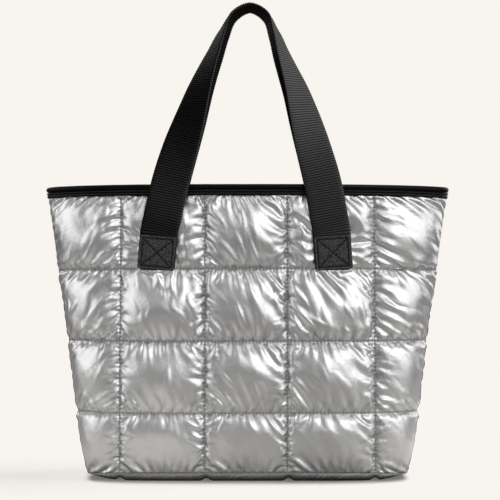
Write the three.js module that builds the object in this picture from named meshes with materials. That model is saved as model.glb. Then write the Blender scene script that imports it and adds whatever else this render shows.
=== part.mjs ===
// Puffer tote bag: a quilted padded shell with a bound rim, two standing webbing handles and
// their sewn end patches. Millimetres, +Z up, front towards -Y, origin under the middle of the base.
import * as THREE from "three";

// Driving sizes
const GAP = 0.3; // clearance between pieces that lie on each other
const WEBBING = { width: 41, thickness: 2.4 };
const PATCH = { width: 39, height: 36, thickness: 1.6, corner: 1.5, cornerSteps: 3 };
const QUILT = { seamWall: 2, outerLoft: 11, innerLoft: 3, fullness: 0.55, sideSlack: 0.8 };
const GATHER = { perColumn: 4, perRow: 3, depth: 5, reach: 16 };
const PRESS = { patchLoft: 0.08, strapLoft: 0.5, margin: 5, fade: 14 };
const BINDING = { below: 2.6, above: 5, thickness: 1.2 };
const PIPING = { radius: 3, sides: 8 };
const BASE = { edgeRadius: 12, channelDepth: 2.2, channelHalfWidth: 9 };

// Quilting seams. Girth runs along a panel from its centre line to the side seams, height up from the floor.
// The columns between the outer seams keep their width all the way up, and the outer columns take the rest.
const SIDE_SEAM = 225;
const OUTER_SEAM = 137;
const COLUMN_SEAMS = [-SIDE_SEAM, -OUTER_SEAM, -45.8, 42.3, OUTER_SEAM, SIDE_SEAM];
const BASE_SEAM = 9.6;
const ROW_SEAMS = [BASE_SEAM, 73, 149.5, 227, 303];
const TOP_EDGE = 306.5;
const STEPS_PER_COLUMN = 8;
const STEPS_PER_ROW = 6;
const INNER_STEPS_PER_ROW = 2; // the inside of a panel is plainer

// Cross-sections of the surface that the seams lie on, each a superellipse: a boxy base that flattens
// into a lens at the mouth. endSag is how far a level seam dips at the bag's sides, most of it near them.
const SAG_POWER = 4;
const SECTIONS = [
  { z: 0, halfWidth: 168, halfDepth: 55, squareness: 5.0, endSag: 3 },
  { z: 10, halfWidth: 172, halfDepth: 58, squareness: 4.8, endSag: 3 },
  { z: 40, halfWidth: 180, halfDepth: 62, squareness: 4.1, endSag: 1 },
  { z: 73, halfWidth: 185, halfDepth: 63, squareness: 3.5, endSag: 0 },
  { z: 150, halfWidth: 195, halfDepth: 61, squareness: 2.7, endSag: 0 },
  { z: 227, halfWidth: 206.5, halfDepth: 55, squareness: 2.2, endSag: 2 },
  { z: 318, halfWidth: 218.8, halfDepth: 49, squareness: 1.9, endSag: 2 },
];

// One leg of a handle, from its sewn end to the top of the arch: half the span between the two legs' middle
// lines, the sway of both to the right, the distance out from the bag's middle plane, and the webbing's twist
// in degrees from flat against the bag to flat over the hand.
const HANDLE_LEG = [
  { half: 95.2, sway: -2.6, out: 53.7, z: 228, twist: 6 },
  { half: 94.0, sway: -2.5, out: 53.3, z: 244, twist: 6 },
  { half: 92.9, sway: -2.3, out: 52.9, z: 258, twist: 6 },
  { half: 92.2, sway: -2.2, out: 53.0, z: 266, twist: 6 },
  { half: 88.8, sway: -1.8, out: 56.8, z: 283, twist: 6 },
  { half: 81.1, sway: -1.1, out: 51.8, z: 320, twist: 7 },
  { half: 71.6, sway: -0.7, out: 47.5, z: 355, twist: 20 },
  { half: 60.5, sway: 0.2, out: 42.0, z: 391, twist: 42 },
  { half: 51.2, sway: 1.3, out: 36.5, z: 422, twist: 57 },
  { half: 43.8, sway: 1.8, out: 32.0, z: 444, twist: 69 },
  { half: 37.4, sway: 2.1, out: 28.5, z: 463, twist: 78 },
  { half: 29.0, sway: 2.3, out: 26.0, z: 484, twist: 88 },
  { half: 16.5, sway: 2.4, out: 24.5, z: 503, twist: 90 },
  { half: 0.0, sway: 2.4, out: 24.0, z: 511.5, twist: 90 },
];
const PATCH_ROW = 1; // the row of that table at the middle of the patch
const STEPS_PER_LEG_ROW = 3;

// How much further apart the legs of the back handle stand than those of the front one, on each side.
const BACK_SPREAD = [
  { z: 228, wider: 0 },
  { z: 266, wider: 0.5 },
  { z: 320, wider: 4.5 },
  { z: 391, wider: 1.5 },
  { z: 463, wider: -2.5 },
  { z: 512, wider: -3 },
];
const FRONT = { end: "front", turn: 0, swayShare: 1, spreadShare: 0, rise: 0 };
const BACK = { end: "back", turn: Math.PI, swayShare: 0, spreadShare: 1, rise: 3 };

// Finishes
const silver = new THREE.MeshStandardMaterial({ color: 0xb9b8b6, roughness: 0.32, metalness: 0.9 });
const glossBlack = new THREE.MeshStandardMaterial({ color: 0x0d0d0d, roughness: 0.3, metalness: 0 });
const webbingBlack = new THREE.MeshStandardMaterial({ color: 0x191919, roughness: 0.8, metalness: 0 });
const patchBlack = new THREE.MeshStandardMaterial({ color: 0x232323, roughness: 0.65, metalness: 0 });

// A smooth curve over a table, keyed by one column and giving the other named columns.
function tableCurve(rows, key, columns) {
  const keys = rows.map((row) => row[key]);
  const values = rows.flatMap((row) => columns.map((column) => row[column]));
  const curve = new THREE.CubicInterpolant(keys, values, columns.length);
  return (at) => {
    const found = curve.evaluate(THREE.MathUtils.clamp(at, keys[0], keys[keys.length - 1]));
    return Object.fromEntries(columns.map((column, i) => [column, found[i]]));
  };
}

const sectionAt = tableCurve(SECTIONS, "z", ["halfWidth", "halfDepth", "squareness", "endSag"]);

// A quarter of the section at a height, from the front's middle to the side seam, with its running length.
const QUARTER_STEPS = 160;
const quarters = new Map();
function quarterAt(z) {
  if (quarters.has(z)) return quarters.get(z);
  const { halfWidth, halfDepth, squareness } = sectionAt(z);
  const points = [];
  const lengths = [0];
  for (let i = 0; i <= QUARTER_STEPS; i++) {
    const angle = (i / QUARTER_STEPS) * (Math.PI / 2);
    const x = halfWidth * Math.pow(Math.sin(angle), 2 / squareness);
    const y = -halfDepth * Math.pow(Math.max(Math.cos(angle), 0), 2 / squareness);
    points.push(new THREE.Vector2(x, y));
    if (i) lengths.push(lengths[i - 1] + points[i].distanceTo(points[i - 1]));
  }
  quarters.set(z, { points, lengths });
  return quarters.get(z);
}

// A point of the front panel's seam surface at a girth and a height.
function seamPoint(girth, z) {
  const { points, lengths } = quarterAt(z);
  const whole = lengths[QUARTER_STEPS];
  const outerShare = Math.max(Math.abs(girth) - OUTER_SEAM, 0) / (SIDE_SEAM - OUTER_SEAM);
  const target = THREE.MathUtils.lerp(Math.min(Math.abs(girth), OUTER_SEAM), whole, Math.min(outerShare, 1));
  const next = Math.max(lengths.findIndex((length) => length >= target), 1);
  const along = (target - lengths[next - 1]) / (lengths[next] - lengths[next - 1]);
  const flat = points[next - 1].clone().lerp(points[next], along);
  const { halfWidth, endSag } = sectionAt(z);
  return new THREE.Vector3(Math.sign(girth) * flat.x, flat.y, z - endSag * (flat.x / halfWidth) ** SAG_POWER);
}

// The outward direction of that surface. At a side seam it has no part towards the front.
const PROBE = 0.5;
function seamNormal(girth, z) {
  const up = seamPoint(girth, z + PROBE).sub(seamPoint(girth, z - PROBE));
  const side = Math.sign(girth);
  if (Math.abs(girth) === SIDE_SEAM) return new THREE.Vector3(side * up.z, 0, -side * up.x).normalize();
  const across = seamPoint(girth + PROBE, z).sub(seamPoint(girth - PROBE, z));
  return across.cross(up).normalize();
}

// Where a value lies between its two neighbouring seams, from 0 to 1, and how far from the nearer one.
function inCell(seams, at) {
  const found = seams.findIndex((seam, k) => k > 0 && at <= seam);
  const next = found < 0 ? seams.length - 1 : found;
  const size = seams[next] - seams[next - 1];
  const share = THREE.MathUtils.clamp((at - seams[next - 1]) / size, 0, 1);
  return { share, away: Math.min(share, 1 - share) * size };
}

// The share of its loft that the padding keeps: least under a sewn patch, about half under the webbing
// above it, and less where the wall faces the bag's sides.
function keptLoft(girth, z, { swayShare }) {
  const { half, sway, z: middle } = HANDLE_LEG[PATCH_ROW];
  const reach = WEBBING.width / 2 + PRESS.margin;
  const beside = Math.abs(Math.abs(seamPoint(girth, z).x - swayShare * sway) - half) - reach;
  const below = middle - PATCH.height / 2 - z;
  const above = z - (middle + PATCH.height / 2);
  const fromPatch = Math.hypot(Math.max(beside, 0), Math.max(below, above, 0));
  const fromStrap = Math.hypot(Math.max(beside, 0), Math.max(below, 0));
  const eased = (away, least) => least + (1 - least) * THREE.MathUtils.smoothstep(away, 0, PRESS.fade);
  return Math.min(
    eased(fromPatch, PRESS.patchLoft),
    eased(fromStrap, PRESS.strapLoft),
    1 - QUILT.sideSlack * seamNormal(girth, z).x ** 2,
  );
}

// Height of the padding over the seam surface, with gathers that run in from every seam.
function loftAt(girth, z, full) {
  const column = inCell(COLUMN_SEAMS, girth);
  const row = inCell(ROW_SEAMS, z);
  const crown = Math.sin(Math.PI * column.share) * Math.sin(Math.PI * row.share);
  const wave = (count, share, away) => Math.cos(2 * Math.PI * count * share) * Math.exp(-away / GATHER.reach);
  const alongRow = wave(GATHER.perColumn, column.share, row.away);
  const alongColumn = wave(GATHER.perRow, row.share, column.away);
  const gathered = 1 + (GATHER.depth / QUILT.outerLoft) * (alongRow + alongColumn);
  return full * gathered * Math.pow(Math.max(crown, 0), QUILT.fullness);
}

// Values that split each stretch between seams into equal steps.
function splitSeams(seams, steps) {
  const values = [seams[0]];
  for (let i = 1; i < seams.length; i++)
    for (let k = 1; k <= steps; k++) values.push(THREE.MathUtils.lerp(seams[i - 1], seams[i], k / steps));
  return values;
}

// A geometry from points and triangles of point numbers.
function meshGeometry(points, triangles) {
  const geometry = new THREE.BufferGeometry().setFromPoints(points);
  geometry.setIndex(triangles);
  geometry.computeVertexNormals();
  return geometry;
}

// Triangles of a grid of point numbers, facing the way that columns x rows points, or turned. A cell whose
// points fall together gives fewer triangles.
function gridTriangles(number, columns, rows, turned = false) {
  const triangles = [];
  const add = (a, b, c) => {
    if (a !== b && b !== c && c !== a) triangles.push(...(turned ? [a, c, b] : [a, b, c]));
  };
  for (let j = 0; j + 1 < rows; j++)
    for (let i = 0; i + 1 < columns; i++) {
      add(number(i, j), number(i + 1, j), number(i + 1, j + 1));
      add(number(i, j), number(i + 1, j + 1), number(i, j + 1));
    }
  return triangles;
}

// The border of a grid as a closed ring of point numbers, anticlockwise.
function gridBorder(number, columns, rows) {
  const ring = [];
  for (let i = 0; i + 1 < columns; i++) ring.push(number(i, 0));
  for (let j = 0; j + 1 < rows; j++) ring.push(number(columns - 1, j));
  for (let i = columns - 1; i > 0; i--) ring.push(number(i, rows - 1));
  for (let j = rows - 1; j > 0; j--) ring.push(number(0, j));
  return ring;
}

// Joins an outer ring to an inner one, where only some outer points have an inner twin, the first among them.
function borderTriangles(ring, twins) {
  const triangles = [];
  let inner = twins.get(ring[0]);
  ring.forEach((from, k) => {
    const to = ring[(k + 1) % ring.length];
    triangles.push(from, inner, to);
    if (!twins.has(to)) return;
    triangles.push(to, inner, twins.get(to));
    inner = twins.get(to);
  });
  return triangles;
}

const PANEL_GIRTHS = splitSeams(COLUMN_SEAMS, STEPS_PER_COLUMN);

// The base's channels run midway between the seams of the front and of the back, which is turned round.
const BASE_SEAMS = COLUMN_SEAMS.map((girth, i) => (girth - COLUMN_SEAMS[COLUMN_SEAMS.length - 1 - i]) / 2);
const BASE_GIRTHS = splitSeams(BASE_SEAMS, STEPS_PER_COLUMN);

// A panel, placed as the front one: a closed padded wall, puffed outside and plainer inside, with a flat edge
// for the binding.
function panelGeometry(handle) {
  const girths = PANEL_GIRTHS;
  const top = ROW_SEAMS[ROW_SEAMS.length - 1];
  const heights = [...splitSeams(ROW_SEAMS, STEPS_PER_ROW), (top + TOP_EDGE) / 2, TOP_EDGE];
  const innerHeights = [...splitSeams(ROW_SEAMS, INNER_STEPS_PER_ROW), TOP_EDGE];
  const half = QUILT.seamWall / 2;
  const points = [];
  const add = (girth, z, distance) => {
    const point = seamPoint(girth, z).addScaledVector(seamNormal(girth, z), distance);
    point.y = Math.min(point.y, 0) - GAP / 2;
    points.push(point);
  };
  for (const z of heights)
    for (const girth of girths) {
      const kept = keptLoft(girth, z, handle);
      add(girth, z, half + kept * loftAt(girth, z, QUILT.outerLoft));
    }
  const outerCount = points.length;
  for (const z of innerHeights)
    for (const girth of girths) add(girth, z, -half - loftAt(girth, z, QUILT.innerLoft));
  const outer = (i, j) => j * girths.length + i;
  const inner = (i, j) => outerCount + j * girths.length + i;
  const twins = new Map();
  innerHeights.forEach((z, j) => {
    const row = heights.indexOf(z);
    girths.forEach((_, i) => twins.set(outer(i, row), inner(i, j)));
  });
  return meshGeometry(points, [
    ...gridTriangles(outer, girths.length, heights.length),
    ...gridTriangles(inner, girths.length, innerHeights.length, true),
    ...borderTriangles(gridBorder(outer, girths.length, heights.length), twins),
  ]);
}

// The base: a padded tray with a rounded edge, whose underside lies flat in pads between sewn channels.
// Each strip across it runs from the front edge to the back edge through these shares of its half length.
const BASE_SHARES = [-1, -0.96, -0.88, -0.76, -0.3, 0.3, 0.76, 0.88, 0.96, 1];
function baseGeometry() {
  const { halfWidth, halfDepth, squareness } = sectionAt(BASE_SEAM);
  const reach = (at, own, other) => {
    const left = Math.max(1 - (Math.abs(at) / own) ** squareness, 0);
    return other * Math.pow(left, 1 / squareness);
  };
  const channels = BASE_SEAMS.slice(1, -1).map((girth) => seamPoint(girth, BASE_SEAM).x);
  const underside = (x, y, rim) => {
    const fromFront = reach(x, halfWidth, halfDepth) - Math.abs(y);
    const fromSide = reach(y, halfDepth, halfWidth) - Math.abs(x);
    const inset = THREE.MathUtils.clamp(Math.min(fromFront, fromSide) / BASE.edgeRadius, 0, 1);
    const round = Math.sqrt(1 - (1 - inset) ** 2);
    const away = Math.min(...channels.map((channel) => Math.abs(x - channel)));
    const channel = BASE.channelDepth * (1 - THREE.MathUtils.smoothstep(away, 0, BASE.channelHalfWidth));
    return rim * (1 - round) + channel * round;
  };
  const points = [];
  const add = (x, y, z) => points.push(new THREE.Vector3(x, y, z)) - 1;
  const last = BASE_SHARES.length - 1;
  const under = [];
  const over = [];
  BASE_GIRTHS.forEach((girth) => {
    const edge = seamPoint(girth, BASE_SEAM);
    const rim = edge.z - 2 * GAP;
    if (Math.abs(girth) === SIDE_SEAM) {
      const tip = add(edge.x, 0, rim);
      under.push(BASE_SHARES.map(() => tip));
      over.push(BASE_SHARES.map(() => tip));
      return;
    }
    const depths = BASE_SHARES.map((share) => -share * edge.y);
    const lower = depths.map((y, k) => add(edge.x, y, k % last ? underside(edge.x, y, rim) : rim));
    under.push(lower);
    over.push(depths.map((y, k) => (k % last ? add(edge.x, y, rim) : lower[k])));
  });
  return meshGeometry(points, [
    ...gridTriangles((i, j) => over[i][j], BASE_GIRTHS.length, BASE_SHARES.length),
    ...gridTriangles((i, j) => under[i][j], BASE_GIRTHS.length, BASE_SHARES.length, true),
  ]);
}

// A closed ring round the mouth, swept from a section of outward and up distances from the panels' top edge.
function mouthRing(section) {
  const front = PANEL_GIRTHS.map((girth) => ({ girth, side: 1 }));
  const back = front.slice(1, -1).map(({ girth }) => ({ girth: -girth, side: -1 }));
  const stations = [...front, ...back];
  const points = stations.flatMap(({ girth, side }) => {
    const outward = seamNormal(girth, TOP_EDGE);
    return section.map(([out, up]) => {
      const point = seamPoint(girth, TOP_EDGE + up).addScaledVector(outward, out);
      return new THREE.Vector3(point.x, side * point.y, point.z);
    });
  });
  const size = section.length;
  const number = (i, j) => (i % stations.length) * size + (j % size);
  return meshGeometry(points, gridTriangles(number, stations.length + 1, size + 1));
}

// The binding tape, folded over the top edges of both panels.
function bindingSection() {
  const slot = QUILT.seamWall / 2 + GAP;
  const out = slot + BINDING.thickness;
  const outer = [[out, -BINDING.below], [out, BINDING.above], [-out, BINDING.above], [-out, -BINDING.below]];
  const inner = [[-slot, -BINDING.below], [-slot, GAP], [slot, GAP], [slot, -BINDING.below]];
  return [...outer, ...inner];
}

// The corded edge that rolls along the top of the binding.
function pipingSection() {
  const centre = BINDING.above + GAP + PIPING.radius;
  const corner = PIPING.radius / Math.cos(Math.PI / PIPING.sides);
  return Array.from({ length: PIPING.sides }, (_, k) => {
    const angle = ((2 * k + 1) * Math.PI) / PIPING.sides;
    return [corner * Math.cos(angle), centre + corner * Math.sin(angle)];
  });
}

// The run of a handle, placed as the front one, from one sewn end to the other, as a frame at each row of its
// legs: the middle of the webbing, and the directions across it, along it and out of its show face.
function handleRun({ swayShare, spreadShare, rise }) {
  const last = HANDLE_LEG.length - 1;
  const twistAt = tableCurve(HANDLE_LEG.map(({ twist }, row) => ({ row, twist })), "row", ["twist"]);
  const spreadAt = tableCurve(BACK_SPREAD, "z", ["wider"]);
  const legPoint = ({ half, sway, out, z }, side) => {
    const spread = spreadShare * spreadAt(z).wider * Math.min(half / WEBBING.width, 1);
    const lift = rise * THREE.MathUtils.smoothstep(z, TOP_EDGE, HANDLE_LEG[last].z);
    return new THREE.Vector3(side * (half + spread) + swayShare * sway, -out, z + lift);
  };
  const rightLeg = HANDLE_LEG.map((row) => legPoint(row, 1));
  const leftLeg = HANDLE_LEG.slice(0, -1).reverse().map((row) => legPoint(row, -1));
  const path = new THREE.CatmullRomCurve3([...rightLeg, ...leftLeg], false, "centripetal");
  return (row) => {
    const share = row / (2 * last);
    const along = path.getTangent(share);
    const twist = THREE.MathUtils.degToRad(twistAt(Math.min(row, 2 * last - row)).twist);
    const flat = new THREE.Vector3(along.z, 0, -along.x).normalize();
    const leaning = flat.multiplyScalar(Math.cos(twist)).add(new THREE.Vector3(0, Math.sin(twist), 0));
    const outward = leaning.cross(along).normalize();
    const across = along.clone().cross(outward).normalize();
    return { middle: path.getPoint(share), across, along, outward };
  };
}

// The webbing of a handle: a flat strip that turns with its frames.
function handleGeometry(run) {
  const stations = 2 * (HANDLE_LEG.length - 1) * STEPS_PER_LEG_ROW + 1;
  const corners = [[-1, 1], [-1, -1], [1, -1], [1, 1]];
  const points = [];
  for (let i = 0; i < stations; i++) {
    const { middle, across, outward } = run(i / STEPS_PER_LEG_ROW);
    for (const [side, face] of corners) {
      const edge = middle.clone().addScaledVector(across, (side * WEBBING.width) / 2);
      points.push(edge.addScaledVector(outward, (face * WEBBING.thickness) / 2));
    }
  }
  const number = (i, j) => i * corners.length + (j % corners.length);
  const farEnd = number(stations - 1, 0);
  return meshGeometry(points, [
    ...gridTriangles(number, stations, corners.length + 1),
    ...[0, 1, 2, 0, 2, 3],
    ...[0, 2, 1, 0, 3, 2].map((corner) => farEnd + corner),
  ]);
}

// A sewn patch over an end of a handle: a flat square with rounded corners.
function patchGeometry({ middle, across, along, outward }) {
  const [x, y, r] = [PATCH.width / 2 - PATCH.corner, PATCH.height / 2 - PATCH.corner, PATCH.corner];
  const outline = new THREE.Shape();
  outline.absarc(x, y, r, 0, Math.PI / 2);
  outline.absarc(-x, y, r, Math.PI / 2, Math.PI);
  outline.absarc(-x, -y, r, Math.PI, 1.5 * Math.PI);
  outline.absarc(x, -y, r, 1.5 * Math.PI, 2 * Math.PI);
  const settings = { depth: PATCH.thickness, bevelEnabled: false, curveSegments: PATCH.cornerSteps };
  const place = new THREE.Matrix4().makeBasis(across, along, outward);
  place.setPosition(middle.clone().addScaledVector(outward, WEBBING.thickness / 2 + GAP));
  return new THREE.ExtrudeGeometry(outline, settings).applyMatrix4(place);
}

const bag = new THREE.Group();
function addPiece(name, geometry, material) {
  const piece = new THREE.Mesh(geometry, material);
  piece.name = name;
  bag.add(piece);
}

addPiece("base_panel", baseGeometry(), silver);
addPiece("rim_binding", mouthRing(bindingSection()), glossBlack);
addPiece("rim_piping", mouthRing(pipingSection()), glossBlack);
for (const handle of [FRONT, BACK]) {
  const { end, turn } = handle;
  const run = handleRun(handle);
  const farPatchRow = 2 * (HANDLE_LEG.length - 1) - PATCH_ROW;
  addPiece(`${end}_panel`, panelGeometry(handle).rotateZ(turn), silver);
  addPiece(`${end}_handle`, handleGeometry(run).rotateZ(turn), webbingBlack);
  addPiece(`${end}_patch_a`, patchGeometry(run(PATCH_ROW)).rotateZ(turn), patchBlack);
  addPiece(`${end}_patch_b`, patchGeometry(run(farPatchRow)).rotateZ(turn), patchBlack);
}

export default bag;
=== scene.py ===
import math

import bpy
import numpy as np
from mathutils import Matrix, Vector


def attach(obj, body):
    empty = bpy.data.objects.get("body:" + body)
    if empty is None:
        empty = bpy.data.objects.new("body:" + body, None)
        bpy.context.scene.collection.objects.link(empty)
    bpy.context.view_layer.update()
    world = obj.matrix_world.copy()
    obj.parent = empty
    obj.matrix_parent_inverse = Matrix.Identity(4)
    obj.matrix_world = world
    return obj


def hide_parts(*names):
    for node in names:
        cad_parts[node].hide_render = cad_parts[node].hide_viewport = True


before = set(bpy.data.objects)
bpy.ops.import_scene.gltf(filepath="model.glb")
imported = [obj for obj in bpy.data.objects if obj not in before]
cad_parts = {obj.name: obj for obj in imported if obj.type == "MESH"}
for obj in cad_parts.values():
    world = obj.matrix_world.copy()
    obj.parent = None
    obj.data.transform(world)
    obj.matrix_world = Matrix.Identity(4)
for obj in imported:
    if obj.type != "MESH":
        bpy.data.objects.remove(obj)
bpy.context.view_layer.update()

# Sizes of the bag, in metres. Girth runs along a panel from its centre line, height up from the floor.
GAP = 0.0003
SIDE_SEAM = 0.225
OUTER_SEAM = 0.137
COLUMN_SEAMS = (-SIDE_SEAM, -OUTER_SEAM, -0.0458, 0.0423, OUTER_SEAM, SIDE_SEAM)
BASE_SEAM = 0.0096
ROW_SEAMS = (BASE_SEAM, 0.073, 0.1495, 0.227, 0.3052)
TOP_EDGE = 0.3065
SEAM_WALL = 0.002
OUTER_LOFT = 0.010
INNER_LOFT = 0.003
FULLNESS = 0.8
SIDE_SLACK = 0.8

# Cross-sections of the surface that the seams lie on: height, half width, half depth, squareness, end sag
SAG_POWER = 4
SECTIONS = (
    (0.0, 0.168, 0.055, 5.0, 0.003),
    (0.010, 0.172, 0.058, 4.8, 0.003),
    (0.040, 0.180, 0.062, 4.1, 0.001),
    (0.073, 0.185, 0.063, 3.5, 0.0),
    (0.150, 0.195, 0.061, 2.7, 0.0),
    (0.227, 0.2065, 0.055, 2.2, 0.002),
    (0.318, 0.2188, 0.049, 1.9, 0.002),
)
QUARTER_STEPS = 800

# Handles and patches
WEBBING_WIDTH = 0.041
WEBBING_THICKNESS = 0.0024
PATCH_WIDTH = 0.039
PATCH_HEIGHT = 0.036
PATCH_THICKNESS = 0.0016
PATCH_ROW = 1

# A handle's leg from its sewn end to the arch's top: half span, sway, out, height, twist in degrees
HANDLE_LEG = (
    (0.0952, -0.0026, 0.0537, 0.228, 6),
    (0.0940, -0.0025, 0.0533, 0.244, 6),
    (0.0929, -0.0023, 0.0529, 0.258, 6),
    (0.0922, -0.0022, 0.0530, 0.266, 6),
    (0.0888, -0.0018, 0.0568, 0.283, 6),
    (0.0813, -0.0011, 0.0518, 0.320, 9),
    (0.0719, -0.0007, 0.0475, 0.355, 21),
    (0.0617, 0.0002, 0.0420, 0.391, 39),
    (0.0527, 0.0004, 0.0365, 0.422, 54),
    (0.0449, 0.0004, 0.0320, 0.444, 64),
    (0.0376, 0.0008, 0.0285, 0.463, 71),
    (0.0298, 0.0016, 0.0260, 0.484, 77),
    (0.0198, 0.0025, 0.0245, 0.5025, 84),
    (0.0, 0.0028, 0.0240, 0.5115, 90),
)
LAST_ROW = len(HANDLE_LEG) - 1
SEWN_ROWS = 6
STRAP_STATIONS = 121
HANDLE_STATIONS = 4000

# How much further apart the legs of the back handle stand: height, wider on each side
BACK_SPREAD = (
    (0.228, 0.0),
    (0.266, 0.0005),
    (0.320, 0.0045),
    (0.391, 0.0015),
    (0.463, -0.0025),
    (0.512, -0.003),
)

# The height by which the back handle has taken up its sway
SWING_TOP = 0.42

# How a handle rolls at its top: height, degrees
TOP_ROLL = ((0.228, 0.0), (0.463, 0.0), (0.484, 2.0), (0.502, 5.0), (0.512, 2.0))
HANDLES = {
    "front": {"turn": 0.0, "sway": 1, "swing": 0, "spread": 0, "roll": 1, "rise": 0.0, "seed": 11},
    "back": {"turn": math.pi, "sway": 0, "swing": -1, "spread": 1, "roll": -0.2, "rise": 0.003, "seed": 29},
}

# How the patches press the padding: share of its loft that is left, and how far out that fades
PRESSED_LOFT = 0.1
PRESSED_FADE = 0.014
PRESSED_FADE_BELOW = 0.005
PATCH_SUNK = 0.0038
PATCH_HEM = 0.0016

# Quilting: stitches between two seams, cloth steps to a stitch, how deep the thread pulls, and painted shade
# on and beside the seams
STITCHES_PER_COLUMN = 24
STITCHES_PER_ROW = 19
STEPS_PER_STITCH = 3
HOLE_DEPTH = 0.0024
STITCH_DEPTH = 0.0015
SEAM_WAVE = 0.0005
THREAD_SHADE = 0.8
SEAM_SHADE = 0.12

# Ridges that the seams draw up, each from least to most: spacing in stitches, reach, height and lean
PUCKERS = {
    "below": (
        ((2.2, 4.5), (0.010, 0.026), (0.0008, 0.0020), (-0.4, 0.4)),
        ((0.9, 1.7), (0.004, 0.008), (0.0003, 0.0007), (-0.5, 0.5)),
    ),
    "above": (((1.8, 4.2), (0.009, 0.026), (0.0006, 0.0017), (-0.5, 0.5)),),
    "beside": (
        ((2.0, 6.0), (0.008, 0.026), (0.0004, 0.0013), (-0.2, 0.7)),
        ((0.9, 2.2), (0.004, 0.015), (0.0004, 0.0013), (-0.1, 1.0)),
    ),
}
PUCKER_SPREAD = {"below": 0.6, "above": 0.6, "beside": -0.7}
# Painted shade in the creases beside the ridges: how dark on each side, how narrow, and the shares of the
# ridges' greatest height over which it fades out
PUCKER_SHADE = {"below": 0.3, "above": 0.42, "beside": 0.48}
PUCKER_EDGE = 0.25
PUCKER_FADE = (0.15, 0.5)
PUCKER_START = 0.0014
PUCKER_LEAN = 0.6
ROW_PUCKERS = (0.6, 0.8, 1.0, 0.6)

# Slender creases in each cell, from least to most, and how far they turn from the folds in degrees
CREASES_PER_CELL = 18
CREASE_LENGTH = (0.018, 0.050)
CREASE_WIDTH = (0.005, 0.012)
CREASE_HEIGHT = (0.0004, 0.0014)
CREASE_CREST = (-0.6, 0.6)
CREASE_TURN = 14
CREASE_TIP = 0.3
CREASE_START = 0.010

# Wadding: lumps as a share of its loft, and for each row its share of the loft and its crown's shift up
LUMPS = 0.25
START_LOFT = 0.6
ROW_LOFT = (0.55, 0.85, 1.0, 1.0)
CROWN_SHIFT = (1.4, 1.2, 1.0, 1.0)

# Spare cloth that lets each cell rise, and each column's folds: direction in degrees from level, spare
RISE_SPARE = 0.035
COLUMN_FOLDS = ((55, 0.055), (100, 0.03), (118, 0.06), (120, 0.06), (145, 0.06))
ROW_FOLDS = (0.25, 0.7, 1.0, 1.0)
PATCH_FOLDS = 0.045
PATCH_FOLD_REACH = 0.02
FOLD_TURN = 20
FOLD_UNEVEN = 0.6

# Gathers that the thread draws in: spare cloth at the seam and how far they reach
GATHERS = {"below": (0.05, 0.016), "above": (0.04, 0.012), "beside": (0.02, 0.013)}
ROW_GATHERS = (0.6, 0.8, 1.0, 0.3)
GATHER_START = 0.016
GATHER_LEAN = 0.5
GATHER_TURN = 22
BESIDE_TURN = 15
GATHER_UNEVEN = 0.9
SIDE_SPARE = 0.3
SIDE_REACH = 0.035

# Numbers of uneven spots across and up a panel
UNEVEN_SPOTS = {
    "lumps": (26, 19),
    "fold_turn": (16, 11),
    "folds": (20, 15),
    "below": (45, 9),
    "above": (60, 9),
    "beside": (11, 40),
    "wave": (110, 75),
}

# The cloth's springs: neighbour offset down and across, and stiffness
SPRINGS = {(0, 1): 1.0, (1, 0): 1.0, (1, 1): 0.6, (1, -1): 0.6}
WADDING_PUSH = 0.00002
WADDING_GIVE = 0.01
BEND_REACH = 0.018
DRIFT = 0.9
NOISE = 0.0005

# How the cloth settles: steps to a stitch, bend at seams and in cells, then shares of the spare and rounds
LEVELS = (
    (2, 0.008, 0.08, ((0.4, 150), (0.7, 150), (1.0, 400))),
    (3, 0.014, 0.3, ((1.0, 400),)),
)

# Camera of the photograph, which looks level along +Y
CAMERA_PLACE = (0.00275, -1.9, 0.247)
FOCAL_PIXELS = 1727
IMAGE_PIXELS = 500
SENSOR_MM = 36

BACKDROP = (0.939, 0.905, 0.863, 1)
ROOM = (0.195, 0.195, 0.195, 1)

TINY = 1e-9


def unit(vectors):
    return vectors / np.linalg.norm(vectors, axis=-1, keepdims=True)


def smoothstep(at, low, high):
    share = np.clip((at - low) / (high - low), 0, 1)
    return share * share * (3 - 2 * share)


def table_curve(rows):
    """A smooth curve through a table, as a function of its first column."""
    rows = np.asarray(rows, float)
    keys, values = rows[:, 0], rows[:, 1:]
    last = len(keys) - 1

    def at(key):
        key = np.clip(np.asarray(key, float), keys[0], keys[last])
        after = np.clip(np.searchsorted(keys, key, side="right"), 1, last)
        before = after - 1
        earlier = np.where(before > 0, before - 1, after)
        later = np.where(after < last, after + 1, before)
        start, end = keys[before], keys[after]
        lead = (end - start) / 2 / (start - keys[earlier])
        follow = (end - start) / 2 / (keys[later] - end)
        p = (key - start) / (end - start)
        shares = (
            -lead * p**3 + 2 * lead * p**2 - lead * p,
            (1 + lead) * p**3 - (1.5 + 2 * lead) * p**2 + (lead - 0.5) * p + 1,
            (-1 - follow) * p**3 + (1.5 + follow) * p**2 + 0.5 * p,
            follow * p**3 - follow * p**2,
        )
        rows_used = (earlier, before, after, later)
        return sum(share[..., None] * values[row] for share, row in zip(shares, rows_used))

    return at


section_at = table_curve(SECTIONS)


def seam_row(girths, height):
    """Points of the front panel's seam surface at one height."""
    half_width, half_depth, squareness, end_sag = section_at(height)
    angle = np.linspace(0, math.pi / 2, QUARTER_STEPS + 1)
    x = half_width * np.sin(angle) ** (2 / squareness)
    y = -half_depth * np.maximum(np.cos(angle), 0) ** (2 / squareness)
    lengths = np.concatenate([[0], np.cumsum(np.hypot(np.diff(x), np.diff(y)))])
    size = np.abs(girths)
    outer = np.clip((size - OUTER_SEAM) / (SIDE_SEAM - OUTER_SEAM), 0, 1)
    target = np.minimum(size, OUTER_SEAM) * (1 - outer) + lengths[-1] * outer
    across = np.interp(target, lengths, x)
    sag = end_sag * (across / half_width) ** SAG_POWER
    return np.stack([np.sign(girths) * across, np.interp(target, lengths, y), height - sag], axis=-1)


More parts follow.
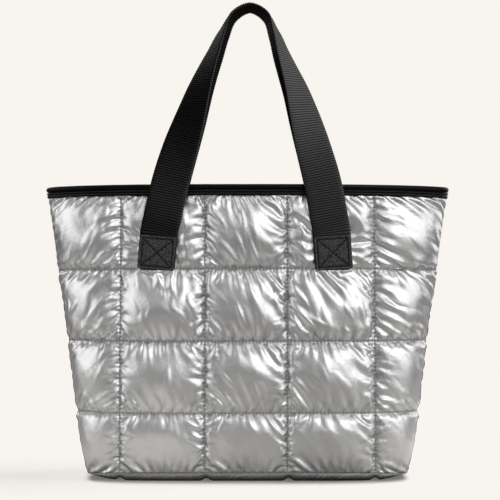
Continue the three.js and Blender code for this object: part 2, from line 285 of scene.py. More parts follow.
def seam_grid(girths, heights):
    """Points of the seam surface on a grid of heights by girths, and its outward directions."""
    points = np.stack([seam_row(girths, height) for height in heights])
    up = np.gradient(points, axis=0)
    across = np.gradient(points, axis=1)
    normals = np.cross(across, up)
    normals[:, [0, -1], 1] = 0
    return points, unit(normals)


def split(seams, steps):
    """Values that split each stretch between seams into equal steps."""
    parts = [np.linspace(a, b, steps, endpoint=False) for a, b in zip(seams, seams[1:])]
    return np.concatenate([*parts, [seams[-1]]])


def in_cell(seams, values):
    """The cell that each value lies in, and its share of the way across it."""
    cell = np.clip(np.searchsorted(seams, values, side="right") - 1, 0, len(seams) - 2)
    low, high = np.take(seams, cell), np.take(seams, cell + 1)
    return cell, np.clip((values - low) / (high - low), 0, 1)


# Handle frames
def smooth_path(points):
    """A centripetal curve through points, as a function of the point's number."""
    ends = [2 * points[0] - points[1]], [2 * points[-1] - points[-2]]
    padded = np.concatenate([ends[0], points, ends[1]])

    def at(number):
        number = np.asarray(number, float)
        first = np.clip(number.astype(int), 0, len(points) - 2)
        w = (number - first)[..., None]
        p0, p1, p2, p3 = (padded[first + k] for k in range(4))
        d0, d1, d2 = (
            np.sqrt(np.linalg.norm(b - a, axis=-1, keepdims=True)) for a, b in ((p0, p1), (p1, p2), (p2, p3))
        )
        slope1 = ((p1 - p0) / d0 - (p2 - p0) / (d0 + d1) + (p2 - p1) / d1) * d1
        slope2 = ((p2 - p1) / d1 - (p3 - p1) / (d1 + d2) + (p3 - p2) / d2) * d1
        square = 3 * (p2 - p1) - 2 * slope1 - slope2
        cube = 2 * (p1 - p2) + slope1 + slope2
        return p1 + slope1 * w + square * w**2 + cube * w**3

    return at


def handle_run(handle):
    """A handle's frames as a function of the row of its legs: middle, across, along and outward."""
    leg = np.array(HANDLE_LEG)
    half, sway, out, height, twist = leg.T
    wider = table_curve(BACK_SPREAD)(height)[:, 0] * np.minimum(half / WEBBING_WIDTH, 1)
    twist = twist + handle["roll"] * table_curve(TOP_ROLL)(height)[:, 0]
    lift = handle["rise"] * smoothstep(height, TOP_EDGE, height[-1])
    swing = (handle["sway"] + handle["swing"] * smoothstep(height, TOP_EDGE, SWING_TOP)) * sway
    legs = []
    for side in (1, -1):
        x = side * (half + handle["spread"] * wider) + swing
        legs.append(np.stack([x, -out, height + lift], axis=-1))
    path = smooth_path(np.concatenate([legs[0], legs[1][-2::-1]]))
    twist_at = table_curve(np.stack([np.arange(len(twist)), np.radians(twist)], axis=-1))

    def frames(row):
        row = np.asarray(row, float)
        probe = 0.001
        along = unit(path(row + probe) - path(row - probe))
        angle = twist_at(np.minimum(row, 2 * LAST_ROW - row))
        flat = unit(np.stack([along[..., 2], 0 * row, -along[..., 0]], axis=-1))
        leaning = np.cos(angle) * flat + np.sin(angle) * np.array([0, 1, 0])
        outward = unit(np.cross(leaning, along))
        return path(row), unit(np.cross(along, outward)), along, outward

    return frames


# Mesh pieces
def grid_faces(rows, columns, start=0, turned=False, closed=False):
    """Quads of a grid of points in row order. A closed grid joins its last column to its first."""
    wide = columns if closed else columns - 1
    i, j = np.meshgrid(np.arange(wide), np.arange(rows - 1))
    after = (i + 1) % columns
    near, far = j * columns, (j + 1) * columns
    quads = np.stack([near + i, near + after, far + after, far + i], axis=-1).reshape(-1, 4) + start
    return quads[:, ::-1] if turned else quads


def mesh_piece(name, points, face_sets, materials, uv=None, face_material=None, values=None):
    """An object from points and arrays of faces, smooth shaded. Values are named numbers at its points."""
    points = np.ascontiguousarray(points, np.float32).reshape(-1, 3)
    mesh = bpy.data.meshes.new(name)
    counts = np.concatenate([np.full(len(faces), faces.shape[1]) for faces in face_sets])
    corners = np.concatenate([faces.reshape(-1) for faces in face_sets]).astype(np.int32)
    mesh.vertices.add(len(points))
    mesh.vertices.foreach_set("co", points.ravel())
    mesh.loops.add(len(corners))
    mesh.loops.foreach_set("vertex_index", corners)
    mesh.polygons.add(len(counts))
    mesh.polygons.foreach_set("loop_start", np.concatenate([[0], np.cumsum(counts)[:-1]]).astype(np.int32))
    mesh.polygons.foreach_set("use_smooth", np.ones(len(counts), bool))
    for material in materials:
        mesh.materials.append(material)
    if face_material is not None:
        mesh.polygons.foreach_set("material_index", face_material.astype(np.int32))
    if uv is not None:
        layer = mesh.uv_layers.new(name="cloth")
        layer.data.foreach_set("uv", np.asarray(uv, np.float32).reshape(-1, 2)[corners].ravel())
    for label, numbers in (values or {}).items():
        layer = mesh.attributes.new(label, "FLOAT", "POINT")
        layer.data.foreach_set("value", np.asarray(numbers, np.float32))
    mesh.update()
    mesh.validate()
    piece = bpy.data.objects.new(name, mesh)
    bpy.context.scene.collection.objects.link(piece)
    return piece


def settle(piece, slot, *nodes):
    """Makes a piece ride on the bag and stand for its solids. Its slot is not used."""
    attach(piece, "root")
    if nodes:
        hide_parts(*nodes)
    return piece


# Materials
def new_material(name, **constants):
    """A material whose shader has these constants, by socket name with underscores."""
    material = bpy.data.materials.new(name)
    material.use_nodes = True
    shader = material.node_tree.nodes["Principled BSDF"]
    for socket, value in constants.items():
        shader.inputs[socket.replace("_", " ").title().replace("Ior", "IOR")].default_value = value
    return material, shader


def add_node(material, kind, inputs=None, **settings):
    """A node with its settings, and its inputs set to constants or linked to sockets."""
    node = material.node_tree.nodes.new(kind)
    for name, value in settings.items():
        setattr(node, name, value)
    for name, value in (inputs or {}).items():
        if isinstance(value, bpy.types.NodeSocket):
            material.node_tree.links.new(value, node.inputs[name])
        else:
            node.inputs[name].default_value = value
    return node


def link(material, source, shader, socket):
    material.node_tree.links.new(source, shader.inputs[socket])


def place_of(material):
    return add_node(material, "ShaderNodeTexCoord").outputs["Object"]


def noise_of(material, scale, detail=3.0, vector=None):
    inputs = {"Vector": vector or place_of(material), "Scale": scale, "Detail": detail}
    return add_node(material, "ShaderNodeTexNoise", inputs).outputs["Fac"]


def bump_of(material, height, distance, normal=None):
    inputs = {"Height": height, "Distance": distance, "Strength": 1.0}
    if normal:
        inputs["Normal"] = normal
    return add_node(material, "ShaderNodeBump", inputs).outputs["Normal"]


def ranged(material, value, low, high):
    inputs = {"Value": value, "To Min": low, "To Max": high}
    return add_node(material, "ShaderNodeMapRange", inputs).outputs["Result"]


def tinted(material, value, *stops):
    """A colour that changes with a value, from stops of value and grey or colour."""
    ramp = add_node(material, "ShaderNodeValToRGB", {"Fac": value})
    elements = ramp.color_ramp.elements
    while len(elements) < len(stops):
        elements.new(0.5)
    for element, (position, colour) in zip(elements, stops):
        element.position = position
        element.color = colour if isinstance(colour, tuple) else (colour, colour, colour, 1)
    return ramp.outputs["Color"]


def attribute_of(material, name):
    return add_node(material, "ShaderNodeAttribute", attribute_name=name).outputs["Fac"]


def cloth_place(material, across, along, turn=0):
    """Places on the cloth's own flat pattern turned by some degrees, as multiples of two lengths."""
    place = add_node(material, "ShaderNodeUVMap", uv_map="cloth").outputs["UV"]
    inputs = {"Vector": place, "Rotation": (0, 0, math.radians(turn)), "Scale": (across, along, 1)}
    return add_node(material, "ShaderNodeMapping", inputs, vector_type="TEXTURE").outputs["Vector"]


FOIL_COLOUR = (0.72, 0.72, 0.718, 1)
# Near black painted where shade falls in the foil's seams, holes and creases
FOIL_PAINTED_SHADE_COLOUR = (0.03, 0.03, 0.03, 1)
# The base's foil, painted darker than the panels' foil as shade
PAINTED_SHADE_BASE_COLOUR = (0.5, 0.5, 0.498, 1)
FOIL_ROUGHNESS = (0.36, 0.44)
FOIL_CLOUDS = 60.0
CRINKLES = 330.0
CRINKLE_DEPTH = 0.0002

# Faint streaks in the foil: how far apart, how long, how deep, and their lean in degrees
STREAK_PITCH = 0.028
STREAK_LENGTH = 0.07
STREAK_DEPTH = 0.0028
STREAK_TURN = 28


def foil_material(name, colour):
    material, shader = new_material(name, metallic=1.0)
    place = place_of(material)
    # Painted shade: near black in seam grooves and stitch holes, at crease edges and low on the base's edge
    shade = tinted(material, attribute_of(material, "seam"), (0, colour), (1, FOIL_PAINTED_SHADE_COLOUR))
    link(material, shade, shader, "Base Color")
    clouds = noise_of(material, FOIL_CLOUDS, detail=4.0, vector=place)
    link(material, ranged(material, clouds, *FOIL_ROUGHNESS), shader, "Roughness")
    crinkle = bump_of(material, noise_of(material, CRINKLES, vector=place), CRINKLE_DEPTH)
    streak_place = cloth_place(material, STREAK_PITCH, STREAK_LENGTH, STREAK_TURN)
    streaks = noise_of(material, 1.0, detail=2.0, vector=streak_place)
    link(material, bump_of(material, streaks, STREAK_DEPTH, normal=crinkle), shader, "Normal")
    return material


def backing_material():
    material, shader = new_material("backing_cloth", roughness=0.85)
    shade = tinted(material, noise_of(material, scale=700.0), (0.35, 0.09), (0.65, 0.14))
    link(material, shade, shader, "Base Color")
    weave = noise_of(material, scale=900.0)
    link(material, bump_of(material, weave, distance=0.0002), shader, "Normal")
    return material


def grained_material(name, scale, dark, light, depth, detail=3.0, **constants):
    """A material and its shader. A grain raises its face and tints it, between stops of grain and grey."""
    material, shader = new_material(name, **constants)
    grain = noise_of(material, scale, detail)
    link(material, tinted(material, grain, dark, light), shader, "Base Color")
    link(material, bump_of(material, grain, depth), shader, "Normal")
    return material, shader


def thread_material(name, dark, light):
    stops = {"dark": (0.35, dark), "light": (0.65, light)}
    finish = {"roughness": 0.55, "specular_ior_level": 0.3}
    return grained_material(name, scale=2500.0, depth=0.0002, **stops, **finish)[0]


# Webbing: how far apart its ribs lie, the length and height of its uneven spots, and their least and most
RIB_PITCH = 0.0027
YARN_SPOT = (0.002, 0.0012)
YARN_UNEVEN = (-0.3, 0.35)


def webbing_material(name, light, gloss):
    """Ribs of uneven yarn, with painted shade in the gaps between them."""
    material, shader = new_material(name, roughness=0.75, specular_ior_level=gloss)
    inputs = {
        "Vector": cloth_place(material, RIB_PITCH, RIB_PITCH),
        "Scale": 1.0,
        "Mortar Size": 0.22,
        "Mortar Smooth": 0.6,
        "Brick Width": 40.0,
        "Row Height": 1.0,
    }
    yarn = add_node(material, "ShaderNodeTexBrick", inputs).outputs["Fac"]
    uneven = noise_of(material, 1.0, detail=2.0, vector=cloth_place(material, *YARN_SPOT))
    parts = {0: yarn, 1: ranged(material, uneven, *YARN_UNEVEN)}
    shade = add_node(material, "ShaderNodeMath", parts, operation="ADD").outputs[0]
    link(material, tinted(material, shade, (0, light), (0.9, 0.0003)), shader, "Base Color")
    fuzz = bump_of(material, uneven, distance=0.0005)
    ribs = ranged(material, yarn, 1, 0)
    link(material, bump_of(material, ribs, distance=0.0004, normal=fuzz), shader, "Normal")
    return material


def binding_material():
    stops = {"dark": (0.3, 0.0015), "light": (0.7, 0.004)}
    finish = {"specular_ior_level": 0.1}
    material, shader = grained_material("binding", scale=700.0, depth=0.0001, **stops, **finish)
    clouds = noise_of(material, scale=120.0)
    link(material, ranged(material, clouds, low=0.22, high=0.38), shader, "Roughness")
    return material


def patch_material():
    stops = {"dark": (0.38, 0.002), "light": (0.62, 0.075)}
    finish = {"roughness": 0.6, "specular_ior_level": 0.3}
    return grained_material("patch", scale=800.0, detail=2.0, depth=0.0004, **stops, **finish)[0]


FOIL = foil_material("quilted_foil", FOIL_COLOUR)
# The same foil painted darker as shade, for the base
PAINTED_SHADE_BASE_FOIL = foil_material("painted_shade_base_foil", PAINTED_SHADE_BASE_COLOUR)
BACKING = backing_material()
QUILT_THREAD = thread_material("quilt_thread", 0.3, 0.55)
BLACK_THREAD = thread_material("black_thread", 0.001, 0.003)
RIM_THREAD = thread_material("rim_thread", 0.01, 0.04)
WEBBING = webbing_material("webbing", 0.023, 0.1)
# A darker, duller copy of the webbing for its hidden inner face, as painted shade
PAINTED_SHADE_WEBBING_INSIDE = webbing_material("painted_shade_webbing_inside", 0.005, 0.03)
BINDING = binding_material()
PATCH = patch_material()


# Padded panels
def strap_face(run, x, height):
    """How far a point lies beside the webbing's middle, and the depth of the webbing's hidden face there."""
    beside = np.full(x.shape, np.inf)
    depth = np.full(x.shape, -np.inf)
    rows = np.linspace(0, SEWN_ROWS, STRAP_STATIONS)
    for legs in (rows, 2 * LAST_ROW - rows):
        middle, across, _, outward = run(legs)
        hidden = middle - outward * (WEBBING_THICKNESS / 2 + GAP)
        centre = np.interp(height, hidden[:, 2], hidden[:, 0])
        slope = np.interp(height, hidden[:, 2], -outward[:, 0] / outward[:, 1])
        away = np.abs(x - centre)
        face = np.interp(height, hidden[:, 2], hidden[:, 1]) + slope * (x - centre)
        nearer = away < beside
        beside = np.where(nearer, away, beside)
        depth = np.where(nearer, face, depth)
    return beside, depth


def kept_loft(surface, normals, handle):
    """The share of its loft that the padding keeps."""
    half, sway, _, middle, _ = HANDLE_LEG[PATCH_ROW]
    x, z = surface[..., 0], surface[..., 2]
    beside = np.abs(np.abs(x - handle["sway"] * sway) - half) - PATCH_WIDTH / 2
    below = (middle - PATCH_HEIGHT / 2 - z) * PRESSED_FADE / PRESSED_FADE_BELOW
    above = z - (middle + PATCH_HEIGHT / 2)
    away = np.hypot(np.maximum(beside, 0), np.maximum(np.maximum(below, above), 0))
    pressed = PRESSED_LOFT + (1 - PRESSED_LOFT) * smoothstep(away, 0, PRESSED_FADE)
    return np.minimum(1 - SIDE_SLACK * normals[..., 0] ** 2, pressed)


def patch_folds(surface, handle):
    """Folds that run out from the patches: their direction in degrees and their spare cloth."""
    half, sway, _, middle, _ = HANDLE_LEG[PATCH_ROW]
    beside = np.abs(surface[..., 0] - handle["sway"] * sway) - half
    above = surface[..., 2] - middle
    side = np.sign(surface[..., 0])
    outside = np.hypot(
        np.maximum(np.abs(beside) - PATCH_WIDTH / 2, 0), np.maximum(np.abs(above) - PATCH_HEIGHT / 2, 0)
    )
    angle = np.degrees(np.arctan2(above, side * beside))
    return angle, PATCH_FOLDS * np.exp(-outside / PATCH_FOLD_REACH) * (above > -PATCH_HEIGHT / 2)


def spring_batches(surface, flat, stretch, free):
    """Springs between neighbours on the grid, in batches in which no two share a point."""
    rows, columns = free.shape
    batches = []
    for (down, right), stiffness in SPRINGS.items():
        period = 2 * max(down, right)
        for start in range(period):
            if down:
                first = (slice(start, rows - down, period), slice(max(0, -right), columns - max(0, right)))
                second = (slice(start + down, rows, period), slice(max(0, right), columns - max(0, -right)))
            else:
                first = (slice(None), slice(start, columns - right, period))
                second = (slice(None), slice(start + right, columns, period))
            base = np.linalg.norm(surface[second] - surface[first], axis=-1)
            step = flat[second] - flat[first]
            u, v = np.moveaxis(unit(step), -1, 0)
            wider, taller, slant = np.moveaxis((stretch[first] + stretch[second]) / 2, -1, 0)
            rest = base * (1 + wider * u**2 + taller * v**2 + slant * u * v)
            held = free[first] + free[second]
            pull = stiffness / np.maximum(held, 1)
            batches.append((first, second, rest, free[first] * pull, free[second] * pull))
    return batches


def unevenness(points):
    """How far each inner point lies off the mean of its neighbours."""
    off = np.zeros_like(points)
    off[1:-1, 1:-1] = (points[:-2, 1:-1] + points[2:, 1:-1] + points[1:-1, :-2] + points[1:-1, 2:]) / 4
    off[1:-1, 1:-1] -= points[1:-1, 1:-1]
    return off


def relax(points, surface, normals, loft, free, bend, batches, face, steps):
    """Lets the cloth settle under its springs and the wadding's push, behind the webbing's hidden face."""
    before = points.copy()
    moving = free[..., None]
    stiff = (free * bend)[..., None]
    for _ in range(steps):
        risen = np.einsum("rck,rck->rc", points - surface, normals)
        push = WADDING_PUSH * np.clip((loft - risen) / WADDING_GIVE, -1, 1)
        moved = points + moving * (DRIFT * (points - before) + push[..., None] * normals)
        before, points = points, moved
        points -= stiff * unevenness(unevenness(points))
        for first, second, rest, share_first, share_second in batches:
            gap = points[second] - points[first]
            length = np.sqrt(np.einsum("rck,rck->rc", gap, gap))
            pull = 1 - rest / np.maximum(length, TINY)
            points[first] += (share_first * pull)[..., None] * gap
            points[second] -= (share_second * pull)[..., None] * gap
        np.maximum(points[..., 1], face, out=points[..., 1])
        np.minimum(points[..., 1], -GAP / 2, out=points[..., 1])
    return points


class PanelCloth:
    """One level of a panel's cloth: its grid, its seam surface, what holds it and its wadding's loft."""

    def __init__(self, handle, steps, bend_at_seam=0.0, bend_in_cell=0.0):
        self.girths = split(COLUMN_SEAMS, STITCHES_PER_COLUMN * steps)
        lower = split(ROW_SEAMS, STITCHES_PER_ROW * steps)
        self.heights = np.concatenate([lower, np.linspace(ROW_SEAMS[-1], TOP_EDGE, steps + 1)[1:]])
        self.surface, self.normals = seam_grid(self.girths, self.heights)
        self.flat = np.stack(np.meshgrid(self.girths, self.heights), axis=-1)
        column, across = in_cell(COLUMN_SEAMS, self.girths)
        row, up = in_cell(ROW_SEAMS, self.heights)
        shifted = up ** np.array(CROWN_SHIFT)[row]
        crown = np.sin(math.pi * shifted)[:, None] * np.sin(math.pi * across)[None, :]
        kept = kept_loft(self.surface, self.normals, handle)
        random = np.random.default_rng(handle["seed"])
        lumps = 1 + LUMPS * self.patchy(random, "lumps")
        by_row = np.array(ROW_LOFT)[row][:, None]
        self.loft = OUTER_LOFT * by_row * kept * np.maximum(crown, 0) ** FULLNESS * lumps
        wide, high = np.diff(COLUMN_SEAMS)[column], np.diff(ROW_SEAMS)[row]
        shape = np.zeros(self.loft.shape)
        away = {
            "left": across * wide + shape,
            "right": (1 - across) * wide + shape,
            "below": ((1 - up) * high)[:, None] + shape,
            "above": (up * high)[:, None] + shape,
        }
        self.from_seam = np.min(list(away.values()), axis=0)
        self.patch_folds = patch_folds(self.surface, handle)
        self.bend = bend_at_seam + (bend_in_cell - bend_at_seam) * smoothstep(self.from_seam, 0, BEND_REACH)
        self.stretch = self.spare(random, row, column, away)
        self.hold(handle, steps)

    def spare(self, random, row, column, away):
        """Spare cloth of the folds and the gathers: across, up and slanting."""
        angle, fold = np.array(COLUMN_FOLDS)[column].T
        angle = angle + FOLD_TURN * self.patchy(random, "fold_turn")
        fold = fold * np.array(ROW_FOLDS)[row][:, None] * (1 + FOLD_UNEVEN * self.patchy(random, "folds"))
        from_side = SIDE_SEAM - np.abs(self.girths)
        calm = SIDE_SPARE + (1 - SIDE_SPARE) * smoothstep(from_side, 0, SIDE_REACH)
        clear = smoothstep(np.minimum(away["left"], away["right"]), 0, GATHER_START)
        parts = [(angle, fold * calm * clear)]
        for end in ("below", "above"):
            spare, reach = GATHERS[end]
            uneven = 1 + GATHER_UNEVEN * self.patchy(random, end)
            turn = GATHER_TURN * self.patchy(random, end)
            size = spare * np.array(ROW_GATHERS)[row][:, None] * uneven * clear * np.exp(-away[end] / reach)
            parts.append((90 + GATHER_LEAN * (angle - 90) + turn, size))
        spare, reach = GATHERS["beside"]
        for end, way, side in (("left", -1, column > 0), ("right", 1, column < column[-1])):
            uneven = 1 + GATHER_UNEVEN * self.patchy(random, "beside")
            parts.append((way * BESIDE_TURN, spare * side * uneven * np.exp(-away[end] / reach)))
        parts.append(self.patch_folds)
        self.wave = SEAM_WAVE * self.patchy(random, "wave")
        spare = RISE_SPARE * np.array([1, 1, 0]) + np.zeros(self.loft.shape + (3,))
        for angle, size in parts:
            sine, cosine = np.sin(np.radians(angle)), np.cos(np.radians(angle))
            ways = np.broadcast_arrays(sine**2, cosine**2, -2 * sine * cosine)
            spare = spare + size[..., None] * np.stack(ways, axis=-1)
        return spare

    def patchy(self, random, name):
        """Smooth random values over the panel, about even from -1 to 1."""
        wide, high = UNEVEN_SPOTS[name]
        values = random.uniform(-1, 1, (high, wide))
        across = np.linspace(0, wide - 1, len(self.girths))
        up = np.linspace(0, high - 1, len(self.heights))
        rows = np.stack([np.interp(across, np.arange(wide), row) for row in values])
        return np.stack([np.interp(up, np.arange(high), column) for column in rows.T], axis=-1)

    def hold(self, handle, steps):
        """Pins the stitch holes, the edges and the cloth under the patches."""
        rows, columns = self.loft.shape
        row_number, column_number = np.arange(rows), np.arange(columns)
        on_row = row_number % (STITCHES_PER_ROW * steps) == 0
        on_column = column_number % (STITCHES_PER_COLUMN * steps) == 0
        hole_row, hole_column = row_number % steps == 0, column_number % steps == 0
        holes = (on_row[:, None] & hole_column[None, :]) | (hole_row[:, None] & on_column[None, :])
        edge = np.zeros(self.loft.shape, bool)
        edge[[0, -1]] = True
        edge[:, [0, -1]] = True
        edge[self.heights >= ROW_SEAMS[-1] - TINY] = True
        self.anchor = self.surface + self.normals * SEAM_WALL / 2
        seams = (on_row[:, None] | on_column[None, :]) & ~edge
        depth = np.where(holes, HOLE_DEPTH, STITCH_DEPTH)
        self.anchor[seams] += ((self.wave - depth)[..., None] * self.normals)[seams]
        x, z = self.surface[..., 0], self.surface[..., 2]
        beside, depth = strap_face(handle_run(handle), x, z)
        middle = HANDLE_LEG[PATCH_ROW][3]
        sewn = (beside < PATCH_WIDTH / 2) & (np.abs(z - middle) < PATCH_HEIGHT / 2)
        self.anchor[..., 1] = np.where(sewn, depth, self.anchor[..., 1])
        below = middle - PATCH_HEIGHT / 2 - z
        hem = (beside < PATCH_WIDTH / 2) & (below >= 0) & (below < PATCH_HEM)
        self.anchor[..., 1] = np.where(hem, depth - PATCH_SUNK, self.anchor[..., 1])
        under_strap = (beside < WEBBING_WIDTH / 2) & (below < 0)
        self.face = np.where(under_strap, depth, -np.inf)
        self.sewn = sewn
        self.on_row, self.on_column = np.flatnonzero(on_row), np.flatnonzero(on_column)
        # Painted shade along the seams and the panel's bottom edge: darkest at the stitch holes, a little
        # lighter between them, faint beside them, none under the patches
        dark = seams | (row_number == 0)[:, None]
        self.seam = np.where(dark, np.where(holes, 1.0, THREAD_SHADE), 0.0)
        for axis in (0, 1):
            beside_seam = np.maximum(np.roll(dark, 1, axis), np.roll(dark, -1, axis))
            self.seam = np.maximum(self.seam, SEAM_SHADE * beside_seam)
        self.seam *= ~sewn
        self.pinned = seams | edge | sewn | hem
        self.free = np.where(self.pinned, 0.0, 1.0)

    def settle(self, points, share, steps):
        points = np.where(self.pinned[..., None], self.anchor, points)
        batches = spring_batches(self.surface, self.flat, self.stretch * share, self.free)
        base = self.surface + self.normals * SEAM_WALL / 2
        return relax(points, base, self.normals, self.loft, self.free, self.bend, batches, self.face, steps)


def refine(coarse, fine, points):
    """Carries a coarse level's settled points over to a finer level."""
    offset = points - coarse.surface
    for axis, wanted, known in ((1, fine.girths, coarse.girths), (0, fine.heights, coarse.heights)):
        offset = np.apply_along_axis(lambda line: np.interp(wanted, known, line), axis, offset)
    return fine.surface + offset


def settled_panel(handle):
    """The finest level of a panel, and the points of its cloth."""
    random = np.random.default_rng(handle["seed"])
    before, points = None, None
    for steps, bend_at_seam, bend_in_cell, stages in LEVELS:
        level = PanelCloth(handle, steps, bend_at_seam, bend_in_cell)
        if before:
            points = refine(before, level, points)
        else:
            points = level.surface + level.normals * (SEAM_WALL / 2 + START_LOFT * level.loft)[..., None]
            points += level.normals * (NOISE * random.standard_normal(level.loft.shape))[..., None]
        for share, rounds in stages:
            points = level.settle(points, share, rounds)
        before = level
    return level, points


def pucker_ridges(away, along, stitch, name, leans, random):
    """Heights of the ridges on one side of a seam, and the painted shade in the creases beside them."""
    shape = np.broadcast_shapes(away.shape, along.shape)
    total, dark = np.zeros(shape), np.zeros(shape)
    for spacing, reach, height, lean in PUCKERS[name]:
        ridges, edges = np.zeros(shape), np.zeros(shape)
        start = along.min()
        while start < along.max():
            width = stitch * random.uniform(*spacing)
            share = np.minimum(away / random.uniform(*reach), 1)
            slant = random.uniform(*lean) + leans(start)
            half = width / 2
            across = (along - start - half + slant * away) / (half * (1 + PUCKER_SPREAD[name] * share))
            ridge = random.uniform(*height) * (1 - share) * (1 - across**2)
            ridges = np.maximum(ridges, ridge)
            edge = (1 - share) * np.exp(-(((np.abs(across) - 1) / PUCKER_EDGE) ** 2))
            edges = np.maximum(edges, edge)
            start += width
        total += ridges
        dark = np.maximum(dark, edges * (1 - smoothstep(ridges / height[1], *PUCKER_FADE)))
    return total, PUCKER_SHADE[name] * dark


def row_lean(girth):
    """How far the ridges above and below the rows lean, from the folds of their column."""
    angle = COLUMN_FOLDS[in_cell(COLUMN_SEAMS, girth)[0]][0]
    return -PUCKER_LEAN * math.sin(math.radians(angle - 90))


def scatter_creases(fine, random):
    """Heights of slender creases over the cells, which run along the folds of their column."""
    raised = np.zeros(fine.loft.shape)
    for column, (fold_angle, _) in enumerate(COLUMN_FOLDS):
        for row, share in enumerate(ROW_FOLDS):
            for _ in range(CREASES_PER_CELL):
                x = fine.girths[None] - random.uniform(*COLUMN_SEAMS[column:column + 2])
                z = fine.heights[:, None] - random.uniform(*ROW_SEAMS[row:row + 2])
                turn = math.radians(random.normal(fold_angle, CREASE_TURN))
                length, width = random.uniform(*CREASE_LENGTH), random.uniform(*CREASE_WIDTH)
                crest, height = random.uniform(*CREASE_CREST), random.uniform(*CREASE_HEIGHT)
                taper = np.maximum(1 - ((x * math.cos(turn) + z * math.sin(turn)) / (length / 2)) ** 2, 0)
                half = width / 2 * (CREASE_TIP + (1 - CREASE_TIP) * taper)
                across = (z * math.cos(turn) - x * math.sin(turn)) / half
                off = np.abs(across - crest) / np.where(across > crest, 1 - crest, 1 + crest)
                raised = np.maximum(raised, height * share * taper * np.maximum(1 - off**2, 0))
    return raised * smoothstep(fine.from_seam, 0, CREASE_START)


def pucker(fine, points, random):
    """Draws the cloth up in ridges along the seams and creases between them, and paints shade into the
    creases beside the ridges.
    """
    raised, dark = np.zeros(fine.loft.shape), np.zeros(fine.loft.shape)
    girths, heights = fine.girths[None], fine.heights[:, None]
    most = max(layer[1][1] for layers in PUCKERS.values() for layer in layers)
    stitch = (COLUMN_SEAMS[1] - COLUMN_SEAMS[0]) / STITCHES_PER_COLUMN
    for row in fine.on_row:
        for name, way in (("below", -1), ("above", 1)):
            away = way * (heights - fine.heights[row])
            band = np.flatnonzero((away[:, 0] > 0) & (away[:, 0] < most))
            if len(band):
                ridges, shades = pucker_ridges(away[band], girths, stitch, name, row_lean, random)
                raised[band] = np.maximum(raised[band], ridges)
                dark[band] = np.maximum(dark[band], shades)
    by_row = np.array(ROW_PUCKERS)[in_cell(ROW_SEAMS, fine.heights)[0]][:, None]
    raised, dark = raised * by_row, dark * by_row
    stitch = (ROW_SEAMS[2] - ROW_SEAMS[1]) / STITCHES_PER_ROW
    for column in fine.on_column[1:-1]:
        for way in (-1, 1):
            away = way * (girths - fine.girths[column])
            band = np.flatnonzero((away[0] > 0) & (away[0] < most))
            ridges, shades = pucker_ridges(away[:, band], heights, stitch, "beside", lambda place: 0, random)
            raised[:, band] = np.maximum(raised[:, band], ridges)
            dark[:, band] = np.maximum(dark[:, band], shades)
    raised = raised * smoothstep(fine.from_seam, 0, PUCKER_START)
    raised = (raised + scatter_creases(fine, random)) * ~fine.pinned
    return points + fine.normals * raised[..., None], np.maximum(fine.seam, dark * ~fine.pinned)


def turned(points, angle):
    """Points turned about the bag's upright middle axis."""
    cosine, sine = math.cos(angle), math.sin(angle)
    return points @ np.array([[cosine, -sine, 0], [sine, cosine, 0], [0, 0, 1]]).T


def border(rows, columns):
    """Point numbers round the edge of a grid, anticlockwise."""
    return np.concatenate([
        np.arange(columns - 1),
        np.arange(rows - 1) * columns + columns - 1,
        (rows - 1) * columns + np.arange(columns - 1, 0, -1),
        np.arange(rows - 1, 0, -1) * columns,
    ])


def make_panel(end, handle):
    """A padded panel: the settled cloth outside, a plainer backing inside, joined along the edges."""
    fine, cloth = settled_panel(handle)
    cloth, shade = pucker(fine, cloth, np.random.default_rng(handle["seed"]))
    coarse = PanelCloth(handle, 1)
    crown = coarse.loft / OUTER_LOFT
    inside = coarse.surface - coarse.normals * (SEAM_WALL / 2 + INNER_LOFT * crown)[..., None]
    inside[..., 1] = np.minimum(inside[..., 1], -GAP / 2)
    rows, columns = fine.loft.shape
    inner_rows, inner_columns = coarse.loft.shape
    outer_ring = border(rows, columns).reshape(-1, STEPS_PER_STITCH)
    outer_next = np.roll(outer_ring[:, 0], -1)[:, None]
    inner_ring = border(inner_rows, inner_columns) + rows * columns
    sides = np.concatenate([
        inner_ring[:, None], np.roll(inner_ring, -1)[:, None], outer_next, outer_ring[:, ::-1]
    ], axis=1)
    faces = [
        grid_faces(rows, columns),
        grid_faces(inner_rows, inner_columns, rows * columns, turned=True),
        sides,
    ]
    points = np.concatenate([cloth.reshape(-1, 3), inside.reshape(-1, 3)])
    uv = np.concatenate([fine.flat.reshape(-1, 2), coarse.flat.reshape(-1, 2)])
    inner_face = np.concatenate([np.full(len(part), number == 1) for number, part in enumerate(faces)])
    # Painted shade of the seams and creases on the outer cloth, none on the backing
    seam = np.concatenate([shade.ravel(), np.zeros(coarse.loft.size)])
    name, place = f"{end}_panel_cloth", turned(points, handle["turn"])
    piece = mesh_piece(name, place, faces, [FOIL, BACKING], uv, inner_face, {"seam": seam})
    settle(piece, "quilted_foil", f"{end}_panel")
    return fine, cloth


# Stitches
STITCH_SHARES = np.array([0, 0.1, 0.32, 0.68, 0.9, 1])
STITCH_FATNESS = np.array([0.4, 0.85, 1, 1, 0.85, 0.4])
STITCH_SIDES = 6


